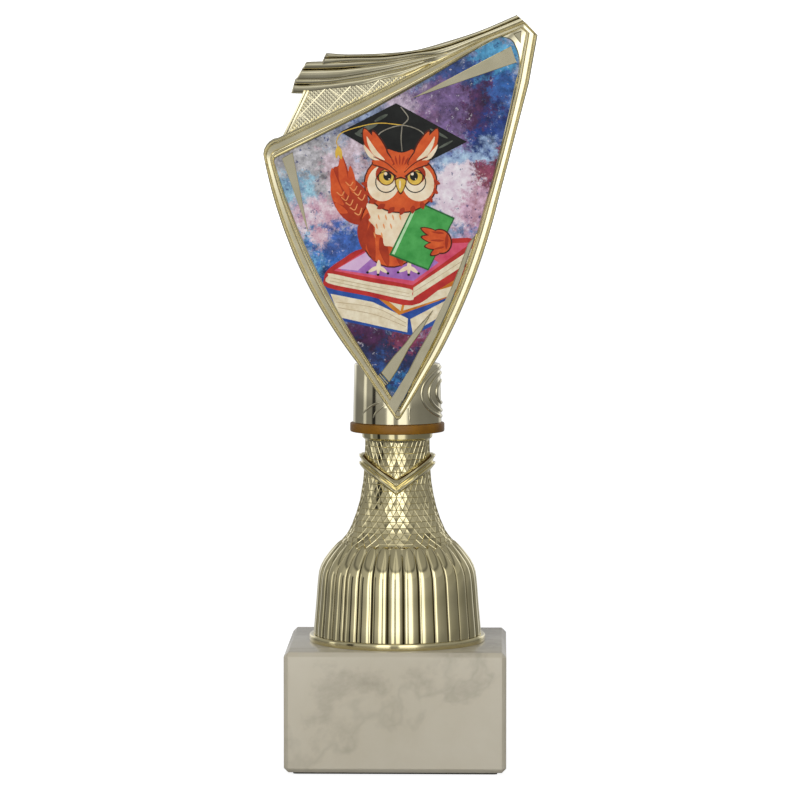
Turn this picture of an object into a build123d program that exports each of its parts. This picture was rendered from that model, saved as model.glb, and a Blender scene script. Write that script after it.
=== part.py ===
from build123d import *
import os

# Column trophy: a marble block carries a plated plastic column, a brown spacer disc and a
# double-sided plated figure with a printed plate in its front.  A threaded rod through the
# middle holds the stack together.  Millimetres, +Z up, front towards -Y, origin at the middle
# of the underside.

# Stone block on a felt sheet
BASE_W = 65.0
BASE_D = 60.0
BASE_TOP = 36.0
BASE_CHAMFER = 1.85
FELT_H = 0.6
FELT_INSET = 2.6

# M6 rod, nuts and washer on the axis
ROD_R = 3.0
ROD_CLEAR_R = 3.3
NUT_FLATS = 10.0
NUT_H = 5.2
WASHER_R = 9.0
WASHER_H = 1.6
COUNTERBORE_R = 12.0
COUNTERBORE_H = 9.0
ROD_END_LOW = 2.2

# Column
RIM_R = 26.25
RIM_H = 2.05
BELL_R = 25.1
SHOULDER_Z = 57.4
SHOULDER_R = 23.35
FLARE_Z = 69.3
FLARE_R = 14.2
NECK_Z = 86.0
NECK_R = 9.9
WAIST_Z = 94.3
WAIST_R = 9.6
LIP_R = 10.5
LIP_H = 1.75
COLUMN_TOP = 98.45
COLUMN_WALL = 2.0
COLUMN_ROOF = 3.2
NECK_BORE_R = 6.6
REEDS = 32
GROOVE_R = 0.75
GROOVE_DEPTH = 0.45

# V-shaped double ridge round the neck: its height above the point of the V is V_SLOPE * |x|
V_SLOPE = 0.72
V_BOTTOM_Z = 80.1
V_BAND_H = 4.9
V_RIDGE_H = 1.5
V_BAND_R = 10.95
V_CREST_R = 11.4

# Spacer disc
DISC_R = 14.03
DISC_H = 2.65
DISC_EDGE = 0.25

# Figure: round socket, and a shield whose front leans back
SOCKET_Z = COLUMN_TOP + DISC_H
SOCKET_H = 17.6
SOCKET_R_LOW = 13.5
SOCKET_R_TOP = 12.6
INSERT_Z = SOCKET_Z + 5.0
ROD_END_TOP = SOCKET_Z + 14.0
ROD_HOLE_TOP = SOCKET_Z + 16.0
SHIELD_Y_LOW = -14.5
SHIELD_Y_TOP = -6.0
SHIELD_Z_LOW = 101.0
SHIELD_Z_TOP = 221.0
FACE_WALL = 4.0
CAVITY_Z = SOCKET_Z + SOCKET_H + 2.0
FIELD_DEPTH = 1.0
PLATE_H = 1.0

OUT = "parts"


def axis_ring(outer_r, inner_r, low, high):
    """A ring or tube standing on the axis from low to high."""
    return Pos(0, 0, low) * (
        Cylinder(outer_r, high - low, align=(Align.CENTER, Align.CENTER, Align.MIN))
        - Cylinder(inner_r, high - low, align=(Align.CENTER, Align.CENTER, Align.MIN))
    )


def rod_hole(low, high, radius=ROD_CLEAR_R):
    """The cutter for a round hole on the axis."""
    return Pos(0, 0, low) * Cylinder(radius, high - low, align=(Align.CENTER, Align.CENTER, Align.MIN))


def hexagon(low, height, across_flats):
    """A hexagonal prism on the axis with its corners towards +X and -X."""
    face = RegularPolygon(across_flats / 2, 6, major_radius=False)
    return Pos(0, 0, low) * extrude(face, height)


def face_of(*edges):
    """A flat face inside a closed loop of edges, drawn in x and z."""
    return make_face(Wire([edge for line in edges for edge in line.edges()]))


# ---------------------------------------------------------------- base

def marble_base():
    height = BASE_TOP - FELT_H
    block = Pos(0, 0, FELT_H) * Box(BASE_W, BASE_D, height, align=(Align.CENTER, Align.CENTER, Align.MIN))
    block = chamfer(block.edges(), BASE_CHAMFER)
    block -= rod_hole(0, BASE_TOP + 1)
    return block - rod_hole(0, FELT_H + COUNTERBORE_H, COUNTERBORE_R)


def felt_sheet():
    return Box(BASE_W - 2 * FELT_INSET, BASE_D - 2 * FELT_INSET, FELT_H,
               align=(Align.CENTER, Align.CENTER, Align.MIN))


def base_washer():
    top = FELT_H + COUNTERBORE_H
    return axis_ring(WASHER_R, ROD_CLEAR_R, top - WASHER_H, top)


def base_nut():
    top = FELT_H + COUNTERBORE_H - WASHER_H
    return hexagon(top - NUT_H, NUT_H, NUT_FLATS) - rod_hole(top - NUT_H, top, ROD_R)


def threaded_rod():
    rod = rod_hole(ROD_END_LOW, ROD_END_TOP, ROD_R)
    return chamfer(rod.edges().filter_by(GeomType.CIRCLE), 0.6)


# ---------------------------------------------------------------- column

def column_outer():
    """Half section of the column's outside, drawn in radius and height."""
    rim_top = BASE_TOP + RIM_H
    lip_low = COLUMN_TOP - LIP_H
    bell = Spline(
        (BELL_R, rim_top), (24.1, 51.5), (SHOULDER_R, SHOULDER_Z), (20.6, 62.2), (16.07, 66.9),
        (FLARE_R, FLARE_Z), (12.2, 74.1), (11.1, 78.8), (NECK_R, NECK_Z), (WAIST_R, WAIST_Z),
    )
    return face_of(
        Polyline((0, BASE_TOP), (RIM_R, BASE_TOP), (RIM_R, rim_top - 0.4), (RIM_R - 0.4, rim_top),
                 (BELL_R, rim_top)),
        bell,
        Polyline((WAIST_R, WAIST_Z), (LIP_R, lip_low), (LIP_R, COLUMN_TOP), (0, COLUMN_TOP),
                 (0, BASE_TOP)),
    )


def column_inner():
    """Half section of the hollow inside the column, open at the bottom."""
    w = COLUMN_WALL
    bell = Spline(
        (BELL_R - w, BASE_TOP), (24.1 - w, 51.5), (SHOULDER_R - w - 0.3, SHOULDER_Z - 0.6),
        (18.0, 62.2), (14.0, 65.9), (FLARE_R - w - 1.2, FLARE_Z - 0.3), (9.6, 74.1),
        (NECK_BORE_R, NECK_Z),
    )
    roof = COLUMN_TOP - COLUMN_ROOF
    return face_of(
        Line((0, BASE_TOP), (BELL_R - w, BASE_TOP)),
        bell,
        Polyline((NECK_BORE_R, NECK_Z), (NECK_BORE_R, roof), (0, roof), (0, BASE_TOP)),
    )


def v_band(low, height, radius):
    """A band of constant height round the neck that follows the V."""
    reach = V_CREST_R + 1
    rise = V_SLOPE * reach
    chevron = face_of(Polyline(
        (0, low), (reach, low + rise), (reach, low + rise + height), (0, low + height),
        (-reach, low + rise + height), (-reach, low + rise), (0, low), close=False))
    prism = extrude(Plane.XZ * chevron, reach, both=True)
    return prism & axis_ring(radius, NECK_BORE_R + 1, low - 1, low + rise + height + 1)


def column():
    shell = revolve(Plane.XZ * column_outer(), Axis.Z) - revolve(Plane.XZ * column_inner(), Axis.Z)
    shell -= rod_hole(BASE_TOP, COLUMN_TOP + 1)
    shell += v_band(V_BOTTOM_Z, V_BAND_H, V_BAND_R)
    for low in (V_BOTTOM_Z + 0.2, V_BOTTOM_Z + V_BAND_H - V_RIDGE_H - 0.9):
        shell += v_band(low, V_RIDGE_H, V_CREST_R)
    # The grooves between the reeds run straight up the bell and fade out at its shoulder.
    low = BASE_TOP + RIM_H
    foot = Vector(BELL_R + GROOVE_R - GROOVE_DEPTH, 0, low)
    head = Vector(SHOULDER_R + GROOVE_R - GROOVE_DEPTH, 0, SHOULDER_Z)
    groove = Plane(origin=foot, z_dir=head - foot) * Cylinder(
        GROOVE_R, (head - foot).length * 1.4, align=(Align.CENTER, Align.CENTER, Align.MIN))
    shell -= [Rot(0, 0, (i + 0.5) * 360 / REEDS) * groove for i in range(REEDS)]
    return shell


def spacer_disc():
    disc = rod_hole(COLUMN_TOP, SOCKET_Z, DISC_R)
    disc = chamfer(disc.edges().filter_by(GeomType.CIRCLE), DISC_EDGE)
    return disc - rod_hole(COLUMN_TOP, SOCKET_Z)


# ---------------------------------------------------------------- figure outlines, in x and z

TIP = (0.3, 102.7)
KNOT = (13.6, 209.4)        # where the draped ribbons run together
TOP_CORNER = (41.4, 215.7)
LEFT_CORNER = (-39.2, 181.5)


def shield_outline():
    """The whole figure seen from the front, ribbons included."""
    return face_of(
        Polyline((-38.2, 183.8), (-33.0, 186.5), (-27.0, 198.4), (-31.2, 198.6), (-29.7, 202.6),
                 (-27.5, 203.2), (-26.7, 207.8), (-22.6, 207.6), (-21.1, 210.5), (-5.2, 210.3)),
        ThreePointArc((-5.2, 210.3), (15.6, 214.0), (35.2, 221.6)),
        ThreePointArc((35.2, 221.6), (39.0, 219.3), TOP_CORNER),
        ThreePointArc(TOP_CORNER, (30.2, 167.9), (12.7, 122.0)),
        Line((12.7, 122.0), (2.6, 103.9)),
        ThreePointArc((2.6, 103.9), TIP, (-1.6, 104.6)),
        Line((-1.6, 104.6), (-11.75, 119.8)),
        ThreePointArc((-11.75, 119.8), (-29.1, 148.6), LEFT_CORNER),
        ThreePointArc(LEFT_CORNER, (-39.1, 182.9), (-38.2, 183.8)),
    )


def field_outline():
    """The sunk picture field, with the strip between the two blades at its lower end."""
    return face_of(
        Line((-34.9, 179.9), (-8.1, 193.1)),
        Polyline((-8.1, 193.1), (10.0, 203.3), (28.6, 214.3)),
        ThreePointArc((28.6, 214.3), (32.6, 214.4), (35.2, 211.2)),
        ThreePointArc((35.2, 211.2), (35.9, 207.6), (35.2, 204.1)),
        ThreePointArc((35.2, 204.1), (26.6, 170.6), (12.8, 135.0)),
        Polyline((12.8, 135.0), (6.7, 123.2), (-1.15, 110.9), (-3.2, 112.2), (-5.2, 115.8),
                 (-10.5, 124.1)),
        ThreePointArc((-10.5, 124.1), (-25.0, 150.0), (-35.1, 177.7)),
        ThreePointArc((-35.1, 177.7), (-35.6, 179.0), (-34.9, 179.9)),
    )


def hollow_outline():
    """The hollow inside the figure, one wall in from the shield's edge."""
    return face_of(
        Polyline((-34.8, 182.8), (-22.6, 199.8), (-20.2, 206.8), (-5.2, 207.6), (34.6, 218.2),
                 (38.4, 214.4)),
        ThreePointArc((38.4, 214.4), (27.6, 168.0), (9.6, CAVITY_Z - 2)),
        Line((9.6, CAVITY_Z - 2), (-9.0, CAVITY_Z - 2)),
        ThreePointArc((-9.0, CAVITY_Z - 2), (-26.3, 149.5), (-36.6, 181.0)),
        Line((-36.6, 181.0), (-34.8, 182.8)),
    )


def blade_outline():
    return face_of(Polyline((11.35, 136.0), (1.3, 123.2), (-4.6, 116.7), (-5.6, 113.4), (-3.4, 111.4),
                            (-2.2, 114.0), (4.0, 123.2), (11.35, 136.0)))


def ray_outlines():
    upper = face_of(Polyline((4.0, 196.9), (33.9, 213.4), (36.2, 207.3), (4.0, 196.9)))
    left = face_of(Polyline((-35.2, 179.0), (-30.2, 182.4), (-25.8, 157.3), (-35.2, 179.0)))
    return [upper, left]


def panel_outline():
    """The cross-hatched triangle between the ribbons and the frame."""
    return face_of(Polyline((-31.6, 187.0), (-26.2, 198.2), (-10.2, 200.1), (1.5, 203.5),
                            (-31.6, 187.0)))


def lower_ribbon_outlines():
    """The two ribbons that lie below the top one, each with the depth of its face."""
    second = face_of(Polyline((-20.0, 208.0), (2.4, 209.0), KNOT, (-5.2, 203.6), (-27.8, 202.9),
                              (-28.5, 208.2), (-20.0, 208.0)))
    third = face_of(Polyline((-32.0, 202.8), (-19.7, 202.5), (-5.2, 203.6), KNOT, (0.9, 203.9),
                             (-10.2, 200.6), (-32.0, 198.0), (-32.0, 202.8)))
    return [(second, 0.7), (third, 1.4)]


# ---------------------------------------------------------------- figure solids

def front_slab(near, far):
    """Everything between two depths behind the leaning front face."""
    lean = (SHIELD_Y_TOP - SHIELD_Y_LOW) / (SHIELD_Z_TOP - SHIELD_Z_LOW)
    low, high = SHIELD_Z_LOW - 10, SHIELD_Z_TOP + 10
    y_low = SHIELD_Y_LOW - 10 * lean
    y_high = SHIELD_Y_TOP + 10 * lean
    side = Polyline((y_low + near, low), (y_high + near, high), (y_high + far, high),
                    (y_low + far, low), (y_low + near, low))
    return extrude(Plane.YZ * make_face(side), BASE_W, both=True)


def relief(outline, near, far):
    """An outline pushed back from depth near to depth far."""
    return extrude(Plane.XZ * outline, BASE_D / 2) & front_slab(near, far)


def socket_half():
    """The front half of the round socket, with room for the rod and half of the insert nut."""
    cone = Pos(0, 0, SOCKET_Z) * Cone(
        SOCKET_R_LOW, SOCKET_R_TOP, SOCKET_H, align=(Align.CENTER, Align.CENTER, Align.MIN))
    front = Pos(0, 0, SOCKET_Z) * Box(BASE_W, BASE_D, BASE_TOP * 2,
                                      align=(Align.CENTER, Align.MAX, Align.MIN))
    return cone & front


def figure_half(field_depth):
    deep = BASE_D
    half = relief(shield_outline(), 0, deep) + socket_half()
    half -= relief(hollow_outline(), FACE_WALL, deep)
    half -= relief(panel_outline(), -1, 1.6)
    for ribbon, depth in lower_ribbon_outlines():
        half -= relief(ribbon, -1, depth)
    raised = [blade_outline(), *ray_outlines()]
    half -= relief(field_outline(), -1, field_depth) - [relief(shape, -2, deep) for shape in raised]
    half -= rod_hole(SOCKET_Z - 1, ROD_HOLE_TOP)
    return half - hexagon(INSERT_Z, NUT_H, NUT_FLATS)


def figure_front():
    return figure_half(FIELD_DEPTH + PLATE_H)


def figure_back():
    return mirror(figure_half(FIELD_DEPTH), about=Plane.XZ)


def picture_plate():
    raised = [blade_outline(), *ray_outlines()]
    plate = relief(field_outline(), FIELD_DEPTH, FIELD_DEPTH + PLATE_H)
    return plate - [relief(shape, 0, BASE_D) for shape in raised]


def insert_nut():
    return hexagon(INSERT_Z, NUT_H, NUT_FLATS) - rod_hole(INSERT_Z, INSERT_Z + NUT_H, ROD_R)


NODES = {
    "felt_sheet": felt_sheet,
    "marble_base": marble_base,
    "base_nut": base_nut,
    "base_washer": base_washer,
    "threaded_rod": threaded_rod,
    "column": column,
    "spacer_disc": spacer_disc,
    "insert_nut": insert_nut,
    "figure_front": figure_front,
    "figure_back": figure_back,
    "picture_plate": picture_plate,
}

os.makedirs(OUT, exist_ok=True)
for name, build in NODES.items():
    export_step(build(), f"{OUT}/{name}.step")
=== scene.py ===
import math
import random

import bmesh
import bpy
import numpy as np
from mathutils import Matrix, Vector


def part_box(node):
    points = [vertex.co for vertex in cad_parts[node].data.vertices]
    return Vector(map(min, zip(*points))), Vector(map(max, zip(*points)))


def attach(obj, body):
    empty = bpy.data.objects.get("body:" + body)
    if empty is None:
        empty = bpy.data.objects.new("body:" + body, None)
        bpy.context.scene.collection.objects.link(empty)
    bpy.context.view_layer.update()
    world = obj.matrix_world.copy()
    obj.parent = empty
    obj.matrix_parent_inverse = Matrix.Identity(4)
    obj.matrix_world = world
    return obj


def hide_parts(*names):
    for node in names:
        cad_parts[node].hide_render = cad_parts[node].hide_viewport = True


# Column trophy: marble block, plated column, brown disc and a plated two-sided figure with a print.
# Shapes are drawn in millimetres in the row frame: +Z up, front towards -Y, origin under the rod.

MM = 0.001
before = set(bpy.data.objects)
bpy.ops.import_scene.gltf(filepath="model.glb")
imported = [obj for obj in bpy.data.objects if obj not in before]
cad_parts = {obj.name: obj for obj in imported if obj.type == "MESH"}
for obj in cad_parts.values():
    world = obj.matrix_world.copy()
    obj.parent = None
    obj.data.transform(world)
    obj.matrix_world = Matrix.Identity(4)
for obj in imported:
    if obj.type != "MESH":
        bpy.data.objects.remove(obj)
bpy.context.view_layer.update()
scene = bpy.context.scene


def cad_sizes(node):
    """A CAD node's lowest and highest corner in millimetres."""
    low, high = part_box(node)
    return low / MM, high / MM


BLOCK_LOW, BLOCK_HIGH = cad_sizes("marble_base")
FELT_LOW, FELT_HIGH = cad_sizes("felt_sheet")
COLUMN_LOW, COLUMN_HIGH = cad_sizes("column")
DISC_LOW, DISC_HIGH = cad_sizes("spacer_disc")

# Block and felt
BLOCK_CHAMFER = 1.85
BLOCK_ARRIS = 0.12
FELT_CORNER = 1.0

# Column: height above the floor, and the radius there of the reeds' crests and of the neck
CREST = [
    (38.05, 25.15), (40.1, 25.04), (47.9, 24.36), (51.5, 24.1), (55.0, 23.77), (57.4, 23.35),
    (59.8, 22.3), (62.2, 20.6), (64.6, 18.5), (66.9, 16.07), (69.3, 14.2), (71.7, 13.1),
    (76.4, 11.5), (81.2, 10.56), (86.0, 9.9), (94.3, 9.6), (96.2, 9.6),
]
RIM_H = 2.05
RIM_R = COLUMN_HIGH.x
RIM_TOP = COLUMN_LOW.z + RIM_H
REEDS = 32
REED_TOP = 65.6
REED_TIP = 3.4          # how long the rounded end of a reed is
REED_RISE = 0.72
GROOVE_SHARE = 0.07     # of a reed's width
GROOVE_DEPTH = 0.27
CREASE_WIDTH = 0.03, 0.10       # of a reed's width: where the dark line is full, and where it ends
CREASE_TOP = 59.0, 63.5         # the heights between which the dark line fades out
FACETS = 40
FACET_ROWS = 19
FACET_LOW = 63.2
FACET_TOP = 96.2
FACET_RIB = 0.1
FACET_SINK = 0.09
FACET_DENT = 0.05
FACET_UNEVEN = 0.065
LIP_R = 10.4
V_SLOPE = 0.72

# Figure: its front leans back between these two heights; drawn in x, z and height off the front
FACE_Z_LOW, FACE_Z_TOP = 101.0, 221.0
FACE_Y_LOW, FACE_Y_TOP = -14.5, -6.0
FACE_LEAN = (FACE_Y_TOP - FACE_Y_LOW) / (FACE_Z_TOP - FACE_Z_LOW)
SOCKET_LOW = DISC_HIGH.z
SOCKET_H = 17.6
SOCKET_R_LOW, SOCKET_R_TOP = 13.15, 12.75
FLAT_FROM = 106.2       # above this the socket is flattened behind the picture
ART_W = -1.0            # the print's height off the front
SEAM = 0.12             # how far the edges are eased where the two halves meet
BLADE_FOOT = -2.0
PRINT_STEP = 0.012      # how far each level of ink stands above the one below

# Studio: how bright the soft lights, the gap between them, the ceiling and the table are
SOFTBOX = 2.1
GAP = 0.50
OVER_GAP = 1.0
CEILING = 0.32
TABLE = 0.14
KEY_WATTS = 9.0         # a front lamp that only matt surfaces show
KEY_AT = (-0.5, -1.9, 0.5)
KEY_AIM = (0.0, 0.0, 0.1)
CAMERA_AT = (0.0296, -1.2156, 0.1980)
CAMERA_AIM = (0.0008, 0.0, 0.1077)
LENS = 184.6
STAGE_R = 4.0
FLOOR_GAP = 0.0003      # keeps the floor just clear of the felt


# ---------------------------------------------------------------- materials

def linear(code):
    """An sRGB hex colour as a linear RGBA value."""
    parts = [int(code[i:i + 2], 16) / 255 for i in (1, 3, 5)]
    return tuple(c / 12.92 if c <= 0.04045 else ((c + 0.055) / 1.055) ** 2.4 for c in parts) + (1.0,)


def set_inputs(tree, node, inputs):
    """Gives a node's inputs their links or values."""
    for key, value in inputs.items():
        if isinstance(value, bpy.types.NodeSocket):
            tree.links.new(value, node.inputs[key])
        else:
            node.inputs[key].default_value = value


def add_node(tree, kind, inputs=None, stops=None, **settings):
    """Adds one node: its settings, its input values or links, and a ramp's stops."""
    node = tree.nodes.new("ShaderNode" + kind)
    for name, value in settings.items():
        setattr(node, name, value)
    set_inputs(tree, node, inputs or {})
    if stops:
        ramp = node.color_ramp.elements
        while len(ramp) < len(stops):
            ramp.new(1.0)
        for element, (place, colour) in zip(ramp, stops):
            element.position = place
            element.color = colour
    return node


def new_material(name):
    """An empty material with its Principled shader and the place on the piece in metres."""
    material = bpy.data.materials.new(name)
    material.use_nodes = True
    tree = material.node_tree
    tree.nodes.clear()
    shader = add_node(tree, "BsdfPrincipled")
    add_node(tree, "OutputMaterial", {"Surface": shader.outputs["BSDF"]})
    place = add_node(tree, "TexCoord").outputs["Object"]
    return material, tree, shader, place


def grey(value):
    """A linear grey."""
    return (value, value, value, 1.0)


def champagne_plating(name, deep, pale, reeds=0):
    """Vacuum-metallised ABS: an even, pale gold mirror under lacquer, with faint moulding waves.
    With reeds, a thin dark line is painted in each crease, for the dark reflection seen there."""
    material, tree, shader, place = new_material(name)
    haze = add_node(tree, "TexNoise", {"Vector": place, "Scale": 160.0, "Detail": 3.0})
    tone = add_node(tree, "ValToRGB", {"Fac": haze.outputs["Fac"]},
                    stops=[(0.3, linear(deep)), (0.7, linear(pale))])
    gloss = add_node(tree, "ValToRGB", {"Fac": haze.outputs["Fac"]},
                     stops=[(0.3, grey(0.055)), (0.75, grey(0.10))])
    wave = add_node(tree, "TexNoise", {"Vector": place, "Scale": 70.0, "Detail": 2.0})
    bump = add_node(tree, "Bump", {"Height": wave.outputs["Fac"], "Strength": 0.25,
                                   "Distance": 0.00012})
    colour = tone.outputs["Color"]
    if reeds:
        at = add_node(tree, "SeparateXYZ", {"Vector": place})
        turn = add_node(tree, "Math", {0: at.outputs["Y"], 1: at.outputs["X"]}, operation="ARCTAN2")
        count = add_node(tree, "Math", {0: turn.outputs["Value"], 1: reeds / math.tau, 2: 0.5},
                         operation="MULTIPLY_ADD")
        away = add_node(tree, "Math", {0: count.outputs["Value"], 1: 0.5}, operation="PINGPONG")
        full, none = CREASE_WIDTH
        crease = add_node(tree, "MapRange", {"Value": away.outputs["Value"], "From Min": full,
                                             "From Max": none, "To Min": 0.88, "To Max": 0.0})
        low, high = CREASE_TOP
        below_tips = add_node(tree, "MapRange", {"Value": at.outputs["Z"], "From Min": low * MM,
                                                 "From Max": high * MM, "To Min": 1.0,
                                                 "To Max": 0.0})
        above_rim = add_node(tree, "Math", {0: at.outputs["Z"], 1: RIM_TOP * MM},
                             operation="GREATER_THAN")
        reach = add_node(tree, "Math", {0: below_tips.outputs["Result"],
                                        1: above_rim.outputs["Value"]}, operation="MULTIPLY")
        share = add_node(tree, "Math", {0: crease.outputs["Result"], 1: reach.outputs["Value"]},
                         operation="MULTIPLY")
        colour = add_node(tree, "Mix", {"Factor": share.outputs["Value"], "A": colour,
                                        "B": linear("#2b2312")}, data_type="RGBA").outputs["Result"]
    set_inputs(tree, shader, {"Base Color": colour, "Metallic": 1.0,
                              "Roughness": gloss.outputs["Color"], "Normal": bump.outputs["Normal"]})
    return material


def polished_marble():
    """Sawn and polished white marble: soft grey clouds, a few fine veins, a waxy low gloss."""
    material, tree, shader, place = new_material("polished_marble")
    warp = add_node(tree, "TexNoise", {"Vector": place, "Scale": 24.0, "Detail": 1.0})
    bent = add_node(tree, "VectorMath", {0: warp.outputs["Color"], 1: (0.02, 0.02, 0.02), 2: place},
                    operation="MULTIPLY_ADD")
    cloud = add_node(tree, "TexNoise", {"Vector": bent.outputs["Vector"], "Scale": 36.0,
                                        "Detail": 6.0, "Roughness": 0.6})
    stone = add_node(tree, "ValToRGB", {"Fac": cloud.outputs["Fac"]},
                     stops=[(0.24, linear("#958e7c")), (0.36, linear("#b3ab98")),
                            (0.44, linear("#c3bba7")), (0.78, linear("#cbc4b2"))])
    vein = add_node(tree, "TexNoise", {"Vector": bent.outputs["Vector"], "Scale": 17.0,
                                       "Detail": 5.0, "Roughness": 0.55})
    line = add_node(tree, "ValToRGB", {"Fac": vein.outputs["Fac"]},
                    stops=[(0.48, grey(0.0)), (0.50, grey(0.22)), (0.52, grey(0.0))])
    veined = add_node(tree, "Mix", {"Factor": line.outputs["Color"], "A": stone.outputs["Color"],
                                    "B": linear("#8d8775")}, data_type="RGBA")
    grain = add_node(tree, "TexNoise", {"Vector": place, "Scale": 900.0, "Detail": 2.0})
    bump = add_node(tree, "Bump", {"Height": grain.outputs["Fac"], "Strength": 0.05,
                                   "Distance": 0.0001})
    set_inputs(tree, shader, {"Base Color": veined.outputs["Result"], "Roughness": 0.22,
                              "IOR": 1.49, "Normal": bump.outputs["Normal"],
                              "Subsurface Weight": 0.08, "Subsurface Scale": 0.004,
                              "Subsurface Radius": (1.0, 0.9, 0.7)})
    return material


def amber_plastic():
    """Moulded amber-brown polystyrene: satin, with a fine mould grain; opaque here, though the real disc is
    slightly see-through at its edges.
    """
    material, tree, shader, place = new_material("amber_brown_polystyrene")
    cloud = add_node(tree, "TexNoise", {"Vector": place, "Scale": 240.0, "Detail": 3.0})
    tone = add_node(tree, "ValToRGB", {"Fac": cloud.outputs["Fac"]},
                    stops=[(0.3, linear("#774e03")), (0.7, linear("#8c5f07"))])
    grain = add_node(tree, "TexNoise", {"Vector": place, "Scale": 2500.0})
    bump = add_node(tree, "Bump", {"Height": grain.outputs["Fac"], "Strength": 0.2,
                                   "Distance": 0.00005})
    set_inputs(tree, shader, {"Base Color": tone.outputs["Color"], "Roughness": 0.45,
                              "IOR": 1.45, "Normal": bump.outputs["Normal"]})
    return material


def zinc_steel():
    """Zinc-plated steel: pale bluish grey and a little cloudy in tone and gloss, with no brushing drawn."""
    material, tree, shader, place = new_material("zinc_plated_steel")
    cloud = add_node(tree, "TexNoise", {"Vector": place, "Scale": 500.0, "Detail": 4.0})
    tone = add_node(tree, "ValToRGB", {"Fac": cloud.outputs["Fac"]},
                    stops=[(0.3, linear("#a9acae")), (0.7, linear("#c6c9c9"))])
    gloss = add_node(tree, "ValToRGB", {"Fac": cloud.outputs["Fac"]},
                     stops=[(0.3, grey(0.28)), (0.7, grey(0.42))])
    set_inputs(tree, shader, {"Base Color": tone.outputs["Color"], "Metallic": 1.0,
                              "Roughness": gloss.outputs["Color"]})
    return material


def black_felt():
    """Needled black felt: matt, dusty charcoal in the light, with short tangled fibres."""
    material, tree, shader, place = new_material("black_needle_felt")
    fibre = add_node(tree, "TexNoise", {"Vector": place, "Scale": 1500.0, "Detail": 6.0,
                                        "Distortion": 2.0})
    tone = add_node(tree, "ValToRGB", {"Fac": fibre.outputs["Fac"]},
                    stops=[(0.35, linear("#3b3a36")), (0.7, linear("#514f4a"))])
    bump = add_node(tree, "Bump", {"Height": fibre.outputs["Fac"], "Strength": 0.8,
                                   "Distance": 0.0002})
    set_inputs(tree, shader, {"Base Color": tone.outputs["Color"], "Roughness": 0.95,
                              "Sheen Weight": 0.3, "Normal": bump.outputs["Normal"]})
    return material


def print_surface(tree, shader, place, colour):
    """The finish that every ink of the print shares: a satin film with a fine canvas grain."""
    grain = add_node(tree, "TexNoise", {"Vector": place, "Scale": 1400.0, "Detail": 2.0})
    bump = add_node(tree, "Bump", {"Height": grain.outputs["Fac"], "Strength": 0.35,
                                   "Distance": 0.00008})
    set_inputs(tree, shader, {"Base Color": colour, "Roughness": 0.30, "IOR": 1.28,
                              "Normal": bump.outputs["Normal"]})


def ink(name, dark, light, scale=260.0):
    """One printed colour, brushed between a darker and a lighter tone."""
    material, tree, shader, place = new_material("print_ink_" + name)
    wash = add_node(tree, "TexNoise", {"Vector": place, "Scale": scale, "Detail": 4.0,
                                       "Roughness": 0.6})
    tone = add_node(tree, "ValToRGB", {"Fac": wash.outputs["Fac"]},
                    stops=[(0.32, linear(dark)), (0.68, linear(light))])
    print_surface(tree, shader, place, tone.outputs["Color"])
    return material


# Clouds of colour on the print, painted one over the other: x, z, reach in mm, colour, strength
CLOUDS = [
    (-26, 172, 20, "#b5b1b2", 0.9), (-32, 166, 11, "#7fb4cf", 0.8), (-23, 160, 12, "#dcbcc8", 0.9),
    (-24, 151, 9, "#5ba6cc", 0.9), (-14, 147, 13, "#2257ac", 0.9), (-20, 141, 9, "#1c3480", 0.8),
    (-16, 178, 8, "#cfb4bf", 0.7), (4, 196, 9, "#c9b2c2", 0.8), (9, 187, 7, "#a54a64", 0.6),
    (22, 200, 17, "#1c3d80", 0.9), (30, 210, 9, "#4f9cc6", 0.9), (14, 194, 12, "#7d5f8a", 0.8),
    (26, 196, 9, "#4a1c42", 0.8), (31, 186, 10, "#143578", 0.9), (20, 176, 12, "#9fb9d8", 0.8),
    (17, 168, 11, "#e8dae2", 0.95), (29, 171, 8, "#861c3c", 0.9), (24, 160, 9, "#c696ae", 0.8),
    (32, 200, 7, "#2c68b0", 0.7), (-4, 122, 16, "#161d4c", 0.95), (-9, 130, 7, "#4c1f46", 0.85),
    (4, 127, 7, "#8a3a55", 0.8), (-3, 117, 5, "#2a4f8f", 0.8), (-1, 112, 4, "#2c6fa6", 0.9),
]


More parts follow.
